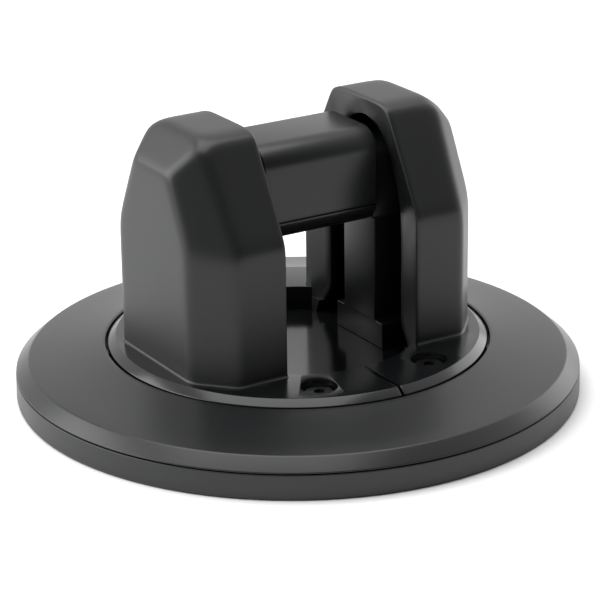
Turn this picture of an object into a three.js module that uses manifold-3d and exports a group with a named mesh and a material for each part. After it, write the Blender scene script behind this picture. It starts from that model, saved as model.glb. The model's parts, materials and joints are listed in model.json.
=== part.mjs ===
// Twist-lock vacuum suction cup with two hollow hand posts and a bridging grip.
// Millimetres, +Z up. The origin is the centre of the sealing face that rests on the surface.
// Turning the posts clockwise, seen from above, slides three ramps under the tabs of the pull
// plate. The plate rises, lifts the rubber diaphragm and draws the vacuum.

import * as THREE from 'three';
import { ConvexGeometry } from 'three/addons/geometries/ConvexGeometry.js';
import { mergeVertices } from 'three/addons/utils/BufferGeometryUtils.js';
import Module from 'manifold-3d';

const wasm = await Module();
wasm.setup();

// ---------------------------------------------------------------- driving dimensions

const GAP = 0.3;                  // clearance between pieces that touch
const CUP_RADIUS = 102.9;         // outer radius of the rubber skirt
const ROUND_STEPS = 48;           // facets of the large round pieces
const SCREW_STEPS = 10;           // facets of small round pieces

// base
const PLATE_BOTTOM = 4.6;
const PLATE_TOP = 7.6;
const PLATE_RADIUS = 99.2;
const PLATE_BORE = 51;
const SKIRT_TOP = 9.2;
const SKIRT_INNER = 86;
const RING_BOTTOM = PLATE_TOP + GAP;
const RING_EDGE_RADIUS = 102.7;
const RING_EDGE_BOTTOM = 9.8;
const SHOULDER_RADIUS = 98;
const SHOULDER_Z = 14.1;
const BROW_RADIUS = 79.5;         // where the ring's top turns steeper
const BROW_Z = 17;
const BORE_RADIUS = 70.1;
const BORE_TOP = 19.1;
const LEDGE_RADIUS = 78.5;
const LEDGE_Z = 12;
const BASE_SCREW_RADIUS = 81.2;
const BASE_SCREW_COUNT = 6;

// twist drive
const LIFT = 2.4;                 // rise of the pull plate over the full twist
const TWIST = 90;                 // degrees
const RAMP_COUNT = 3;
const RAMP_STEP = 15;             // degrees of one ramp facet
const RAMP_DWELL = 8;             // degrees of flat at each end of a ramp
const RAMP_LOW = 9.1;
const CAM_BOTTOM = PLATE_TOP + GAP;
const CAM_INNER = 56.5;
const CAM_WALL_INNER = 61;
const CAM_WALL_OUTER = 66.3;
const CAM_OUTER = 77.3;
const CAM_FLANGE_TOP = 11.6;
const CAM_SCREW_RADIUS = 63.4;
const STOP_RADIUS = 73.2;
const STOP_PIN_RADIUS = 2;

// pull plate and diaphragm
const PULL_RADIUS = 49.6;
const PULL_BOTTOM = 2;
const PULL_TOP = 4.3;
const TAB_WIDTH = 12;
const TAB_WEB_INNER = 51.6;
const TAB_WEB_OUTER = 54.4;
const TAB_OUTER = 60.2;
const TAB_BOTTOM = 9.4;
const TAB_TOP = 11.2;
const FIRST_TAB_ANGLE = 90;

// rotor
const FLOOR_BOTTOM = 9.3;
const FLOOR_TOP = 12;
const PAN_INNER = 48;
const PAN_OUTER = 50.5;
const DECK_BOTTOM = 13.8;
const DECK_TOP = 15.8;
const DECK_RADIUS = 66.5;

// covers
const COVER_TOP = 21.2;
const COVER_BOTTOM = DECK_TOP + GAP;
const COVER_RADIUS = 69.1;
const COVER_BEVEL_RADIUS = 66.2;
const COVER_BEVEL_Z = 19;
const WELL_RADIUS = 44;           // round window between the two covers
const SKIRT_WALL = 2.3;
const SPLIT = 0.6;                // half of the gap between the covers
const FRONT_SCREW = [22.9, -51.3]; // right-hand recess of the front pair
const BACK_SCREW = [19.3, 52.6];  // right-hand recess of the back pair
const RECESS_RADIUS = 6.5;
const RECESS_FLOOR = 17.6;

// posts
const POST_INNER_X = 27;
const POST_OUTER_X = 58.9;
const POST_HALF_DEPTH = 37.8;
const POST_TOP = 105.3;
const RIM_THICKNESS = 3;
const WALL = 3;

// handle
const LEG_DEPTH_X = 17;
const LEG_HALF_WIDTH = 10.2;
const FOOT_HALF_WIDTH = 15.4;
const FOOT_TOP = 21.8;
const LEG_TOP = 62;
const GRIP_HALF_LENGTH = 23.4;
const GRIP_HALF_DEPTH = 17.8;
const GRIP_BOTTOM = 62.3;
const GRIP_TOP = 97.4;
const GRIP_CORNER = 8.4;
const GRIP_PARTING = 69.6;
const CORE_HALF_DEPTH = 13.6;
const CORE_BOTTOM = 66;
const CORE_TOP = 88;
const NECK_BOTTOM = 62.3;

// ---------------------------------------------------------------- finishes

const finishes = {
  moulded: { color: 0x17181a, roughness: 0.42, metalness: 0 },
  gloss: { color: 0x101113, roughness: 0.22, metalness: 0 },
  rubber: { color: 0x1a1b1c, roughness: 0.62, metalness: 0 },
  steel: { color: 0x6f7275, roughness: 0.35, metalness: 1 },
  blackened: { color: 0x1b1c1e, roughness: 0.38, metalness: 0.9 },
  acetal: { color: 0xd8d6cf, roughness: 0.4, metalness: 0 },
};

const cup = new THREE.Group();

// Adds one sub-part to the object.
function place(name, solid, finish) {
  const { vertProperties, triVerts } = solid.getMesh();
  const geometry = new THREE.BufferGeometry();
  geometry.setAttribute('position', new THREE.BufferAttribute(vertProperties, 3));
  geometry.setIndex(new THREE.BufferAttribute(triVerts, 1));
  geometry.computeVertexNormals();
  const mesh = new THREE.Mesh(geometry, new THREE.MeshStandardMaterial(finishes[finish]));
  mesh.name = name;
  cup.add(mesh);
}

// ---------------------------------------------------------------- solids

// Six times the signed volume of an indexed triangle mesh; negative when it is inside out.
function signedVolume(positions, index) {
  const [a, b, c] = [new THREE.Vector3(), new THREE.Vector3(), new THREE.Vector3()];
  let total = 0;
  for (let i = 0; i < index.length; i += 3) {
    a.fromArray(positions, 3 * index[i]);
    b.fromArray(positions, 3 * index[i + 1]);
    c.fromArray(positions, 3 * index[i + 2]);
    total += a.dot(b.cross(c));
  }
  return total;
}

function solidOf(geometry) {
  geometry.deleteAttribute('normal');
  geometry.deleteAttribute('uv');
  const merged = mergeVertices(geometry, 1e-4);
  const positions = new Float32Array(merged.attributes.position.array);
  const index = new Uint32Array(merged.index.array);
  if (signedVolume(positions, index) < 0) index.reverse();
  const mesh = new wasm.Mesh({ numProp: 3, vertProperties: positions, triVerts: index });
  return new wasm.Manifold(mesh);
}

function box(x0, x1, y0, y1, z0, z1) {
  const geometry = new THREE.BoxGeometry(x1 - x0, y1 - y0, z1 - z0);
  geometry.translate((x0 + x1) / 2, (y0 + y1) / 2, (z0 + z1) / 2);
  return solidOf(geometry);
}

// A body of revolution about Z. A profile off the axis is closed by its first point.
function turned(profile, steps = ROUND_STEPS) {
  const points = profile.map(([r, z]) => new THREE.Vector2(r, z));
  if (profile[0][0] > 0) points.push(points[0].clone());
  const geometry = new THREE.LatheGeometry(points, steps);
  geometry.rotateX(Math.PI / 2);
  return solidOf(geometry);
}

function ring(r0, r1, z0, z1) {
  return turned([[r0, z0], [r1, z0], [r1, z1], [r0, z1]]);
}

function rod(radius, z0, z1, x = 0, y = 0, steps = SCREW_STEPS) {
  const profile = [[0, z0], [radius, z0], [radius, z1], [0, z1]];
  return turned(profile, steps).translate([x, y, 0]);
}

// An outline in the (y, z) plane drawn out along X.
function alongX(shape, x0, x1, curveSegments = 6) {
  const options = { depth: x1 - x0, bevelEnabled: false, curveSegments };
  const geometry = new THREE.ExtrudeGeometry(shape, options);
  const turn = new THREE.Matrix4().set(0, 0, 1, x0, 1, 0, 0, 0, 0, 1, 0, 0, 0, 0, 0, 1);
  geometry.applyMatrix4(turn);
  return solidOf(geometry);
}

function hull(points) {
  return solidOf(new ConvexGeometry(points.map(([x, y, z]) => new THREE.Vector3(x, y, z))));
}

function join(...solids) {
  return solids.reduce((sum, solid) => sum.add(solid));
}

function cut(body, ...tools) {
  return tools.reduce((rest, tool) => rest.subtract(tool), body);
}

function polar(radius, degrees) {
  const angle = THREE.MathUtils.degToRad(degrees);
  return [radius * Math.cos(angle), radius * Math.sin(angle)];
}

// Both signs of y for a list of corner points.
function mirroredY(points) {
  return [...points, ...points.map(([x, y, z]) => [x, -y, z])];
}

// A wedge between two angles and two radii, whose top may slope from zStart to zEnd.
function wedge(r0, r1, start, end, z0, zStart, zEnd) {
  const corners = [];
  for (const [angle, top] of [[start, zStart], [end, zEnd]]) {
    for (const radius of [r0, r1]) {
      const [x, y] = polar(radius, angle);
      corners.push([x, y, z0], [x, y, top]);
    }
  }
  return hull(corners);
}

// ---------------------------------------------------------------- screws

// A hexagonal socket, open upwards.
function hexSocket(acrossFlats, z0, z1) {
  return rod(acrossFlats / Math.sqrt(3), z0, z1, 0, 0, 6);
}

// Countersunk screw, head down, with its head's flat face at z0.
function countersunkScrew(headRadius, shankRadius, z0, z1) {
  const cone = z0 + headRadius - shankRadius;
  const profile = [[0, z0], [headRadius, z0], [shankRadius, cone], [shankRadius, z1], [0, z1]];
  const socket = hexSocket(headRadius * 0.75, z0 - 1, z0 + (cone - z0) * 0.9);
  return cut(turned(profile, SCREW_STEPS), socket);
}

// The clearance that a head-down countersunk screw needs.
function countersunkHole(headRadius, shankRadius, z0, z1) {
  const cone = z0 + headRadius - shankRadius;
  const profile = [
    [0, z0 - 6], [headRadius + GAP, z0 - 6], [headRadius + GAP, z0],
    [shankRadius + GAP, cone], [shankRadius + GAP, z1 + GAP], [0, z1 + GAP],
  ];
  return turned(profile, SCREW_STEPS);
}

// Button-head screw, head up, seated at z.
function buttonScrew(headRadius, headHeight, shankRadius, z, length) {
  const profile = [
    [0, z - length], [shankRadius, z - length], [shankRadius, z], [headRadius, z],
    [headRadius, z + headHeight * 0.7], [headRadius * 0.9, z + headHeight], [0, z + headHeight],
  ];
  const body = turned(profile, 16);
  return cut(body, hexSocket(headRadius * 0.62, z + headHeight * 0.35, z + headHeight + 1));
}

// ---------------------------------------------------------------- base

const baseScrewAngles = [];
for (let i = 0; i < BASE_SCREW_COUNT; i += 1) {
  baseScrewAngles.push(30 + (i * 360) / BASE_SCREW_COUNT);
}
const baseScrew = { head: 3, shank: 1.4, z0: PLATE_BOTTOM + 0.15, z1: 12.6 };

function baseScrewHole(angle) {
  const [x, y] = polar(BASE_SCREW_RADIUS, angle);
  const { head, shank, z0, z1 } = baseScrew;
  return countersunkHole(head, shank, z0, z1).translate([x, y, 0]);
}

function sealSkirt() {
  return turned([
    [98.6, 0], [CUP_RADIUS - 0.4, 0], [CUP_RADIUS, 0.6], [CUP_RADIUS, SKIRT_TOP],
    [PLATE_RADIUS + GAP, SKIRT_TOP],
    [PLATE_RADIUS + GAP, PLATE_BOTTOM - GAP], [SKIRT_INNER, PLATE_BOTTOM - GAP],
    [SKIRT_INNER, 3], [95.5, 2.6],
  ]);
}

function diaphragmWeb() {
  return turned([
    [PULL_RADIUS + 0.8, 0.6], [SKIRT_INNER - GAP, 3],
    [SKIRT_INNER - GAP, 4.1], [PULL_RADIUS + 0.8, 1.5],
  ]);
}

function basePlate() {
  const slots = tabAngles().map((angle) => {
    const reach = box(PLATE_BORE - 3, TAB_WEB_OUTER + 0.6, -TAB_WIDTH / 2 - 0.4,
      TAB_WIDTH / 2 + 0.4, PLATE_BOTTOM - 1, PLATE_TOP + 1);
    return reach.rotate([0, 0, angle]);
  });
  const [x, y] = polar(STOP_RADIUS, 0);
  const pinHole = rod(STOP_PIN_RADIUS + GAP, PLATE_BOTTOM - 1, PLATE_TOP + 1, x, y);
  const disc = ring(PLATE_BORE, PLATE_RADIUS, PLATE_BOTTOM, PLATE_TOP);
  return cut(disc, ...slots, pinHole, ...baseScrewAngles.map(baseScrewHole));
}

function outerRing() {
  const body = turned([
    [BORE_RADIUS, LEDGE_Z], [LEDGE_RADIUS, LEDGE_Z], [LEDGE_RADIUS, RING_BOTTOM],
    [84, RING_BOTTOM], [84, 12.6], [94, 11.2], [94, RING_BOTTOM],
    [PLATE_RADIUS - 0.2, RING_BOTTOM], [PLATE_RADIUS - 0.2, RING_EDGE_BOTTOM],
    [RING_EDGE_RADIUS, RING_EDGE_BOTTOM], [RING_EDGE_RADIUS, RING_EDGE_BOTTOM + 0.4],
    [SHOULDER_RADIUS, SHOULDER_Z], [BROW_RADIUS, BROW_Z],
    [BORE_RADIUS + 0.8, BORE_TOP], [BORE_RADIUS, BORE_TOP - 0.5],
  ]);
  return cut(body, ...baseScrewAngles.map(baseScrewHole));
}

// ---------------------------------------------------------------- twist drive

function tabAngles() {
  return Array.from({ length: RAMP_COUNT }, (_, i) => FIRST_TAB_ANGLE + (i * 360) / RAMP_COUNT);
}

// Height of the ramp's top at an angle measured from the middle of its tab.
function rampHeight(angle) {
  return RAMP_LOW + LIFT * THREE.MathUtils.clamp(angle / TWIST, 0, 1);
}

function ramp(tabAngle) {
  const pieces = [];
  for (let at = -RAMP_DWELL; at < TWIST + RAMP_DWELL; at += RAMP_STEP) {
    const next = Math.min(at + RAMP_STEP, TWIST + RAMP_DWELL);
    pieces.push(wedge(CAM_INNER, CAM_WALL_INNER + 1.5, tabAngle + at, tabAngle + next,
      CAM_BOTTOM + 0.6, rampHeight(at), rampHeight(next)));
  }
  return join(...pieces);
}

// The arc that the stop pin travels, as a chain of wedges.
function stopSlot() {
  const half = STOP_PIN_RADIUS + 0.5;
  const pieces = [];
  for (let at = -3; at < TWIST + 3; at += 8) {
    const end = Math.min(at + 8, TWIST + 3);
    pieces.push(wedge(STOP_RADIUS - half, STOP_RADIUS + half, at, end, CAM_BOTTOM - 1,
      CAM_FLANGE_TOP + 1, CAM_FLANGE_TOP + 1));
  }
  return join(...pieces);
}

const camScrewAngles = [30, 150, 210, 330];
const camScrew = { head: 2.4, shank: 1.2, seat: DECK_TOP - 0.1, end: 9.6 };

// Cam screws point down, so the head-down screw is turned over.
function camScrewAt(angle, shape) {
  const [x, y] = polar(CAM_SCREW_RADIUS, angle);
  return shape.rotate([180, 0, 0]).translate([x, y, 0]);
}

function camRing() {
  const body = turned([
    [CAM_INNER, CAM_BOTTOM], [CAM_OUTER, CAM_BOTTOM], [CAM_OUTER, CAM_FLANGE_TOP],
    [CAM_WALL_OUTER, CAM_FLANGE_TOP], [CAM_WALL_OUTER, DECK_BOTTOM - GAP],
    [CAM_WALL_INNER, DECK_BOTTOM - GAP], [CAM_WALL_INNER, RAMP_LOW - 0.05],
    [CAM_INNER, RAMP_LOW - 0.05],
  ]);
  const withRamps = join(body, ...tabAngles().map(ramp));
  return cut(withRamps, stopSlot(), ...camScrewAngles.map(camScrewHole));
}

function camScrewHole(angle) {
  const { head, shank, seat, end } = camScrew;
  return camScrewAt(angle, countersunkHole(head, shank, -seat, -end));
}

function pullPlate() {
  const disc = rod(PULL_RADIUS, PULL_BOTTOM, PULL_TOP, 0, 0, 48);
  const half = TAB_WIDTH / 2;
  const arms = tabAngles().map((angle) => join(
    box(PULL_RADIUS - 3, TAB_WEB_OUTER, -half, half, PULL_BOTTOM, PULL_TOP),
    box(TAB_WEB_INNER, TAB_WEB_OUTER, -half, half, PULL_BOTTOM, TAB_TOP),
    box(TAB_WEB_INNER, TAB_OUTER, -half, half, TAB_BOTTOM, TAB_TOP),
  ).rotate([0, 0, angle]));
  return join(disc, ...arms);
}

// ---------------------------------------------------------------- rotor plate

const coverScrewSpots = [
  ...[FRONT_SCREW, BACK_SCREW].map(([x, y]) => [-x, y]), FRONT_SCREW, BACK_SCREW,
];
const legMiddleX = POST_INNER_X + LEG_DEPTH_X / 2;
const legBoltOffset = 7;
const legBoltSpots = [];
for (const x of [-legMiddleX, legMiddleX]) {
  for (const y of [-legBoltOffset, legBoltOffset]) legBoltSpots.push([x, y]);
}
const legBolt = { head: 4.2, shank: 2.1, z0: FLOOR_BOTTOM + 0.15, z1: 24 };

function legBoltHole([x, y]) {
  const { head, shank, z0, z1 } = legBolt;
  return countersunkHole(head, shank, z0, z1).translate([x, y, 0]);
}

function rotorPlate() {
  const pan = turned([
    [0, FLOOR_BOTTOM], [PAN_OUTER, FLOOR_BOTTOM], [PAN_OUTER, DECK_BOTTOM],
    [DECK_RADIUS, DECK_BOTTOM], [DECK_RADIUS, DECK_TOP], [PAN_INNER, DECK_TOP],
    [PAN_INNER, FLOOR_TOP], [0, FLOOR_TOP],
  ]);
  const screwHoles = coverScrewSpots.map(([x, y]) => rod(2.7, 10, 20, x, y));
  return cut(pan, ...screwHoles, ...legBoltSpots.map(legBoltHole),
    ...camScrewAngles.map(camScrewHole));
}

// ---------------------------------------------------------------- covers with posts

// Corner points of a post grown inwards by a wall; inset 0 gives the outside.
function postCorners(bottom, inset, innerX) {
  const outer = POST_OUTER_X - inset;
  const half = POST_HALF_DEPTH - inset;
  return mirroredY([
    [innerX, half, bottom], [46.7 - inset * 0.45, half, bottom],
    [outer, 24.4 - inset * 0.4, bottom],
    [innerX, half, 69 - inset * 0.25], [45.9 - inset * 0.4, half, 69 - inset * 0.25],
    [outer, 24.4 - inset * 0.4, 68.4 - inset * 0.25],
    [outer, 12.2 - inset * 0.4, 93.3 - inset * 0.6],
    [innerX, 18.3 - inset * 0.8, 103.7 - inset],
    [49 - inset * 0.6, 18.4 - inset * 0.75, 101.8 - inset * 0.8],
    [innerX, 14.3 - inset * 0.5, POST_TOP - inset],
    [46.5 - inset * 0.5, 14 - inset * 0.4, POST_TOP - inset],
  ]);
}

// The opening in a post's inner face, wider at the floor and arched at the top.
function openingShape(grow) {
  const half = [
    [31 + grow, 10], [31 + grow, 12.3], [23.6 + grow, 24], [23.6 + grow, 68],
    [18 + grow, 83], [12.5 + grow * 0.8, 92.5 + grow * 0.5], [7, 97 + grow],
  ];
  const points = [...half, ...half.map(([y, z]) => [-y, z]).reverse()];
  return new THREE.Shape(points.map(([y, z]) => new THREE.Vector2(y, z)));
}

// The right-hand cover; the left one is its mirror image.
function cover() {
  const deck = turned([
    [WELL_RADIUS, COVER_BOTTOM], [COVER_RADIUS, COVER_BOTTOM],
    [COVER_RADIUS, COVER_BEVEL_Z], [COVER_BEVEL_RADIUS, COVER_TOP], [WELL_RADIUS, COVER_TOP],
  ]);
  const outerWall = ring(67, COVER_RADIUS, 12.2, COVER_BOTTOM + 1);
  const wellWall = ring(WELL_RADIUS, WELL_RADIUS + SKIRT_WALL, FLOOR_TOP + GAP, COVER_BOTTOM + 1);
  const halfSpace = box(SPLIT, 120, -120, 120, 0, 60);
  const deckHalf = join(deck, outerWall, wellWall).intersect(halfSpace);

  const post = hull(postCorners(COVER_BOTTOM + 1, 0, POST_INNER_X));
  const rimFoot = box(POST_INNER_X, POST_INNER_X + RIM_THICKNESS, -35.6, 35.6,
    FLOOR_TOP + GAP, COVER_TOP);
  const cavity = hull(postCorners(FLOOR_TOP - 1, WALL, POST_INNER_X + RIM_THICKNESS));
  const opening = alongX(openingShape(0), POST_INNER_X - 2, POST_INNER_X + RIM_THICKNESS + 1);

  const wells = [];
  for (const [x, y] of [FRONT_SCREW, BACK_SCREW]) {
    wells.push(rod(RECESS_RADIUS, RECESS_FLOOR, COVER_TOP + 1, x, y, 20));
    wells.push(rod(2.8, 10, COVER_TOP, x, y));
  }
  return cut(join(deckHalf, post, rimFoot), cavity, opening, ...wells);
}

// ---------------------------------------------------------------- handle

// The bolt heads sit in pockets, just below the top of the crossbar.
const crossbarBolt = { head: 5, headHeight: 5, shank: 2.9, bottom: 40, seat: CORE_TOP - 5.6 };

// The right-hand leg: a column on a wider foot.
function leg() {
  const x0 = POST_INNER_X;
  const x1 = POST_INNER_X + LEG_DEPTH_X;
  const foot = box(x0, x1, -FOOT_HALF_WIDTH, FOOT_HALF_WIDTH, FLOOR_TOP + GAP, FOOT_TOP);
  const column = box(x0, x1, -LEG_HALF_WIDTH, LEG_HALF_WIDTH, FOOT_TOP - 1, LEG_TOP);
  const boltHole = rod(crossbarBolt.shank + GAP, crossbarBolt.bottom - GAP, LEG_TOP + 1,
    legMiddleX, 0);
  return cut(join(foot, column), boltHole, ...legBoltSpots.map(legBoltHole));
}

const gripScrew = { head: 3.2, shank: 1.5, z0: GRIP_BOTTOM + 0.4, z1: 76, x: 14 };

function gripScrewHole(x) {
  const { head, shank, z0, z1 } = gripScrew;
  return countersunkHole(head, shank, z0, z1).translate([x, 0, 0]);
}

function crossbar() {
  const end = POST_INNER_X + LEG_DEPTH_X;
  const neck = GRIP_HALF_LENGTH + 0.8;
  const bar = box(-end, end, -CORE_HALF_DEPTH, CORE_HALF_DEPTH, CORE_BOTTOM, CORE_TOP);
  const right = box(neck, end, -CORE_HALF_DEPTH, CORE_HALF_DEPTH, NECK_BOTTOM, CORE_TOP);
  const left = right.rotate([0, 0, 180]);
  const { head, shank, seat } = crossbarBolt;
  const holes = [-legMiddleX, legMiddleX].flatMap((x) => [
    rod(shank + GAP, NECK_BOTTOM - 1, CORE_TOP + 1, x, 0),
    rod(head + GAP, seat, CORE_TOP + 1, x, 0),
  ]);
  return cut(join(bar, right, left), ...holes, ...[-gripScrew.x, gripScrew.x].map(gripScrewHole));
}

// The grip's outline in the (y, z) plane, with four rounded corners.
function gripShape() {
  const y = GRIP_HALF_DEPTH;
  const r = GRIP_CORNER;
  const shape = new THREE.Shape();
  shape.absarc(y - r, GRIP_BOTTOM + r, r, -Math.PI / 2, 0);
  shape.absarc(y - r, GRIP_TOP - r, r, 0, Math.PI / 2);
  shape.absarc(-y + r, GRIP_TOP - r, r, Math.PI / 2, Math.PI);
  shape.absarc(-y + r, GRIP_BOTTOM + r, r, Math.PI, Math.PI * 1.5);
  return shape;
}

function gripSleeve() {
  const outside = alongX(gripShape(), -GRIP_HALF_LENGTH, GRIP_HALF_LENGTH, 8);
  const room = CORE_HALF_DEPTH + GAP;
  const inside = box(-40, 40, -room, room, CORE_BOTTOM - GAP, CORE_TOP + GAP);
  return cut(outside, inside, ...[-gripScrew.x, gripScrew.x].map(gripScrewHole));
}

function gripUpper() {
  return gripSleeve().intersect(box(-50, 50, -50, 50, GRIP_PARTING + GAP / 2, 120));
}

function gripLower() {
  return gripSleeve().intersect(box(-50, 50, -50, 50, 0, GRIP_PARTING - GAP / 2));
}

// ---------------------------------------------------------------- the whole object

place('seal_skirt', sealSkirt(), 'rubber');
place('diaphragm_web', diaphragmWeb(), 'rubber');
place('base_plate', basePlate(), 'acetal');
place('outer_ring', outerRing(), 'moulded');
place('stop_pin', rod(STOP_PIN_RADIUS, PLATE_BOTTOM + GAP, CAM_FLANGE_TOP - 0.4,
  STOP_RADIUS, 0), 'steel');
baseScrewAngles.forEach((angle, i) => {
  const [x, y] = polar(BASE_SCREW_RADIUS, angle);
  const { head, shank, z0, z1 } = baseScrew;
  const screw = countersunkScrew(head, shank, z0, z1);
  place(`base_screw_${i + 1}`, screw.translate([x, y, 0]), 'steel');
});

place('pull_plate', pullPlate(), 'steel');
place('diaphragm_pad', rod(PULL_RADIUS + 0.4, 0.6, PULL_BOTTOM - GAP, 0, 0, 48), 'rubber');

place('cam_ring', camRing(), 'acetal');
camScrewAngles.forEach((angle, i) => {
  const { head, shank, seat, end } = camScrew;
  const screw = countersunkScrew(head, shank, -seat, -end);
  place(`cam_screw_${i + 1}`, camScrewAt(angle, screw), 'steel');
});
place('rotor_plate', rotorPlate(), 'gloss');

place('cover_right', cover(), 'moulded');
place('cover_left', cover().mirror([1, 0, 0]), 'moulded');
coverScrewSpots.forEach(([x, y], i) => {
  const screw = buttonScrew(5.2, 1.6, 2.4, RECESS_FLOOR + GAP, 4);
  place(`cover_screw_${i + 1}`, screw.translate([x, y, 0]), 'blackened');
});

place('leg_right', leg(), 'gloss');
place('leg_left', leg().rotate([0, 0, 180]), 'gloss');
legBoltSpots.forEach(([x, y], i) => {
  const { head, shank, z0, z1 } = legBolt;
  const bolt = countersunkScrew(head, shank, z0, z1 - GAP);
  place(`leg_bolt_${i + 1}`, bolt.translate([x, y, 0]), 'steel');
});

place('crossbar', crossbar(), 'moulded');
['left', 'right'].forEach((side, i) => {
  const x = i === 0 ? -legMiddleX : legMiddleX;
  const { head, headHeight, shank, bottom, seat } = crossbarBolt;
  const under = seat + GAP;
  const bolt = join(rod(head, under, under + headHeight, x, 0),
    rod(shank, bottom, under + 1, x, 0));
  const socket = rod(2.9, under + 2.5, under + headHeight + 1, x, 0, 6);
  place(`crossbar_bolt_${side}`, cut(bolt, socket), 'steel');
});
place('grip_upper', gripUpper(), 'moulded');
place('grip_lower', gripLower(), 'moulded');
['left', 'right'].forEach((side, i) => {
  const x = i === 0 ? -gripScrew.x : gripScrew.x;
  const { head, shank, z0, z1 } = gripScrew;
  const screw = countersunkScrew(head, shank, z0, z1 - GAP);
  place(`grip_screw_${side}`, screw.translate([x, 0, 0]), 'blackened');
});

export default cup;
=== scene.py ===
# %% [markdown]
# # A twist-lock vacuum suction cup
#
# A low black cup with a wide outer ring, a turning centre, two hollow posts and a grip between them.
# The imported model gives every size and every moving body. This lesson builds what the eye sees on
# top of it: soft moulded shells, a glossy floor, screws in recesses, and a studio around them.
#
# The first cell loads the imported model. Its parts can't be moved here, so each new piece takes its
# place from them and then rides on the same moving body.

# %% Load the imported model
import json
import math

import bmesh
import bpy
import numpy as np
from mathutils import Matrix, Quaternion, Vector


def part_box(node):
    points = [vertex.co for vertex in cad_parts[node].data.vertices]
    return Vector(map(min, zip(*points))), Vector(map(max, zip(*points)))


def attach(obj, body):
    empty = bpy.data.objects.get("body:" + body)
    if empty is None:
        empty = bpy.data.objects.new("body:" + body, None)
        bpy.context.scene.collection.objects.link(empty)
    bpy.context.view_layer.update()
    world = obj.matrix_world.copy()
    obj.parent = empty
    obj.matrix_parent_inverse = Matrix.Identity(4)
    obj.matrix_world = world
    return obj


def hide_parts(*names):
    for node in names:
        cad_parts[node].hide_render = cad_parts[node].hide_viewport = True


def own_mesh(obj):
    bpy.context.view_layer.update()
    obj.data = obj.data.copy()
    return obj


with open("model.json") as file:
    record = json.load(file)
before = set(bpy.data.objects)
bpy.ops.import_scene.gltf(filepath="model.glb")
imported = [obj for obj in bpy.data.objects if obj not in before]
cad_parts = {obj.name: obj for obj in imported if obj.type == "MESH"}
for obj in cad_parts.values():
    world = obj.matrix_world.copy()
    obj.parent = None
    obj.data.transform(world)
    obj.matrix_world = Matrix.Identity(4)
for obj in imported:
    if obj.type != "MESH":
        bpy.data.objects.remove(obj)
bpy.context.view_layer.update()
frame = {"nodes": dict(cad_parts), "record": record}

# %% [markdown]
# ## The camera
#
# The camera comes first, so that every later choice can be judged through it. It looks down at the
# cup from the left front through a long lens, which keeps the round base close to a true ellipse.
# It aims at a point a little above the base, so that the tall posts fit into the picture.

# %% Camera
def place_camera():
    """A long-lens camera at the left front, tipped by less than a degree."""
    azimuth = math.radians(-31.45)
    elevation = math.radians(22.49)
    distance = 0.916
    level = math.cos(elevation)
    toward_camera = Vector((
        math.sin(azimuth) * level,
        -math.cos(azimuth) * level,
        math.sin(elevation),
    ))
    data = bpy.data.cameras.new("studio_camera")
    data.sensor_width = 36
    data.lens = 149.3
    camera = bpy.data.objects.new("studio_camera", data)
    bpy.context.scene.collection.objects.link(camera)
    camera.location = toward_camera * distance
    aim = Vector((0.00126, 0.0, 0.0319)) - camera.location
    camera.rotation_mode = "QUATERNION"
    tip = Quaternion((0, 0, 1), -0.0127)
    camera.rotation_quaternion = aim.to_track_quat("-Z", "Y") @ tip
    bpy.context.scene.camera = camera
    return camera


camera = place_camera()
print("camera at", [round(v, 3) for v in camera.location])

# %% [markdown]
# ## Small helpers for materials
#
# Colours are written as sRGB hex, the way a colour picker shows them. Cycles wants linear numbers,
# so one function converts them. Another one adds a node with its settings and its links, which
# keeps each material short enough to read as a recipe.

# %% Material helpers
def linear(hex_colour):
    """An sRGB hex string as linear red, green, blue and alpha."""
    channels = [int(hex_colour[i:i + 2], 16) / 255 for i in (1, 3, 5)]
    flat = [c / 12.92 if c <= 0.04045 else ((c + 0.055) / 1.055) ** 2.4 for c in channels]
    return (*flat, 1.0)


def add(tree, kind, settings=None, **inputs):
    """Adds a node. Settings are its properties; inputs are values or another node's socket."""
    made = tree.nodes.new(kind)
    for name, value in (settings or {}).items():
        setattr(made, name, value)
    for name, value in inputs.items():
        socket = made.inputs[name.replace("_", " ")]
        if isinstance(value, bpy.types.NodeSocket):
            tree.links.new(value, socket)
        else:
            socket.default_value = value
    return made


def spread(tree, factor, low, high):
    """Maps a 0 to 1 factor onto a range of values, for a roughness that varies."""
    made = add(tree, "ShaderNodeMapRange", Value=factor)
    made.inputs["To Min"].default_value = low
    made.inputs["To Max"].default_value = high
    return made.outputs["Result"]


def two_tone(tree, factor, dark, light):
    """A colour that runs between two hex colours."""
    made = add(tree, "ShaderNodeMix", {"data_type": "RGBA"})
    tree.links.new(factor, made.inputs["Factor"])
    for socket in made.inputs:
        if socket.type == "RGBA" and socket.name == "A":
            socket.default_value = linear(dark)
        if socket.type == "RGBA" and socket.name == "B":
            socket.default_value = linear(light)
    return next(s for s in made.outputs if s.type == "RGBA")


def empty_material(name):
    """A material with just its output and its shader."""
    material = bpy.data.materials.new(name)
    material.use_nodes = True
    material.node_tree.nodes.clear()
    tree = material.node_tree
    shader = add(tree, "ShaderNodeBsdfPrincipled")
    output = add(tree, "ShaderNodeOutputMaterial")
    tree.links.new(shader.outputs["BSDF"], output.inputs["Surface"])
    return material, tree, shader


def millimetres(tree):
    """Object coordinates turned into millimetres, so that scales below are real sizes."""
    place = add(tree, "ShaderNodeTexCoord")
    grown = add(tree, "ShaderNodeVectorMath", {"operation": "SCALE"}, Scale=1000.0)
    tree.links.new(place.outputs["Object"], grown.inputs[0])
    return grown.outputs["Vector"]


print("helpers ready")

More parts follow.
